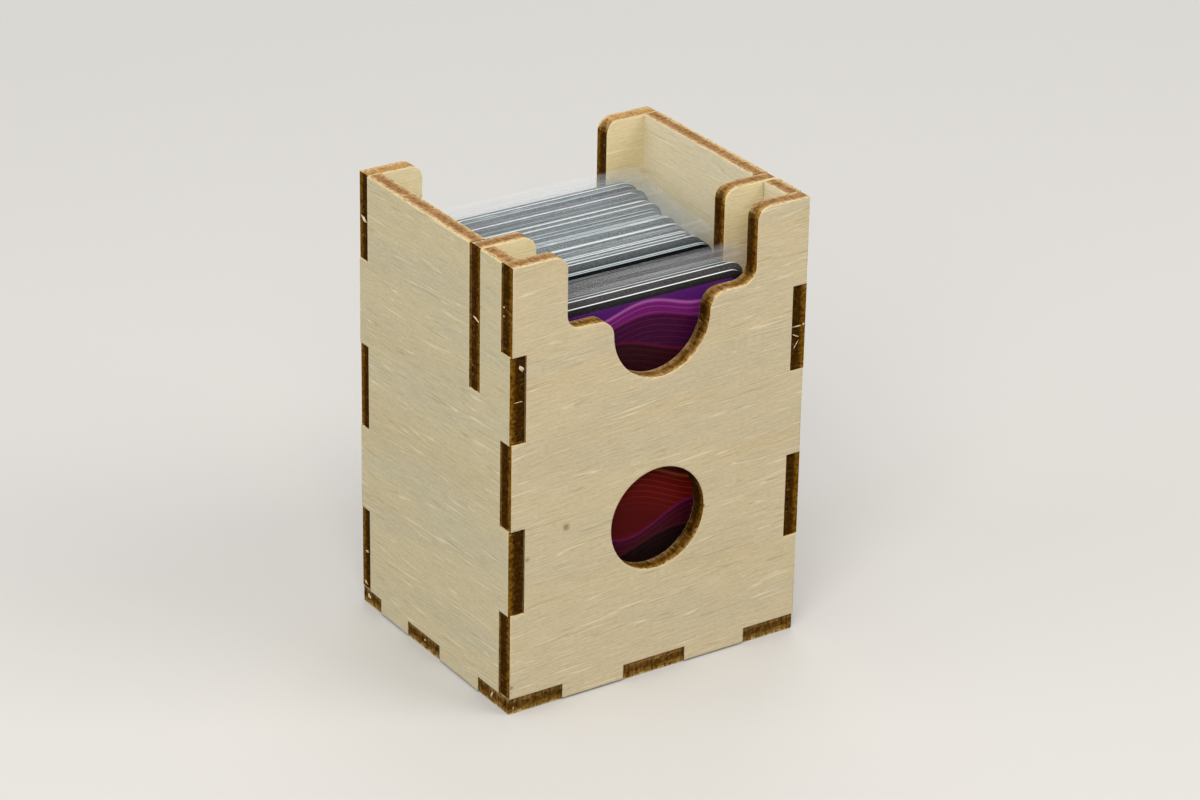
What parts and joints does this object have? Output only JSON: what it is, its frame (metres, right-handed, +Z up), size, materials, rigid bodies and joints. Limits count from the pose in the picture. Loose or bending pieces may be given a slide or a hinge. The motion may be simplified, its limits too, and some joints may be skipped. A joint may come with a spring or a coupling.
{
  "type": "card storage box",
  "caption": "Open-topped finger-jointed plywood box with a lift-out divider, thumb scallop and round window, holding small sleeved cards in two compartments.",
  "frame": {"origin": "middle of the underside, on the surface that the box stands on", "axes": "+Z up, -Y towards the front with the window, +X to the right seen from the front"},
  "size_m": [0.06, 0.0494, 0.083],
  "materials": {
    "plywood": "matte",
    "printed_card": "satin",
    "clear_film": "gloss"
  },
  "bodies": {
    "box": {"floor_panel": "plywood", "front_panel": "plywood", "back_panel": "plywood", "left_side_panel": "plywood", "right_side_panel": "plywood"},
    "divider": {"divider": "plywood"},
    "front_card_1": {"front_card_1": "printed_card", "front_sleeve_1": "clear_film"},
    "front_card_2": {"front_card_2": "printed_card", "front_sleeve_2": "clear_film"},
    "front_card_3": {"front_card_3": "printed_card", "front_sleeve_3": "clear_film"},
    "front_card_4": {"front_card_4": "printed_card", "front_sleeve_4": "clear_film"},
    "deck_pack_1": {"deck_cards_1": "printed_card", "deck_sleeves_1": "clear_film"},
    "deck_pack_2": {"deck_cards_2": "printed_card", "deck_sleeves_2": "clear_film"},
    "deck_pack_3": {"deck_cards_3": "printed_card", "deck_sleeves_3": "clear_film"},
    "deck_pack_4": {"deck_cards_4": "printed_card", "deck_sleeves_4": "clear_film"},
    "deck_pack_5": {"deck_cards_5": "printed_card", "deck_sleeves_5": "clear_film"}
  },
  "joints": [
    {"name": "divider_lift", "type": "slide", "parent": "box", "child": "divider", "axis": [0, 0, 1], "range_m": [0, 0.082]},
    {"name": "front_card_1_lift", "type": "slide", "parent": "box", "child": "front_card_1", "axis": [0, 0, 1], "range_m": [0, 0.082]},
    {"name": "front_card_2_lift", "type": "slide", "parent": "box", "child": "front_card_2", "axis": [0, 0, 1], "range_m": [0, 0.082]},
    {"name": "front_card_3_lift", "type": "slide", "parent": "box", "child": "front_card_3", "axis": [0, 0, 1], "range_m": [0, 0.082]},
    {"name": "front_card_4_lift", "type": "slide", "parent": "box", "child": "front_card_4", "axis": [0, 0, 1], "range_m": [0, 0.082]},
    {"name": "deck_pack_1_lift", "type": "slide", "parent": "box", "child": "deck_pack_1", "axis": [0, 0, 1], "range_m": [0, 0.082]},
    {"name": "deck_pack_2_lift", "type": "slide", "parent": "box", "child": "deck_pack_2", "axis": [0, 0, 1], "range_m": [0, 0.082]},
    {"name": "deck_pack_3_lift", "type": "slide", "parent": "box", "child": "deck_pack_3", "axis": [0, 0, 1], "range_m": [0, 0.082]},
    {"name": "deck_pack_4_lift", "type": "slide", "parent": "box", "child": "deck_pack_4", "axis": [0, 0, 1], "range_m": [0, 0.082]},
    {"name": "deck_pack_5_lift", "type": "slide", "parent": "box", "child": "deck_pack_5", "axis": [0, 0, 1], "range_m": [0, 0.082]}
  ]
}
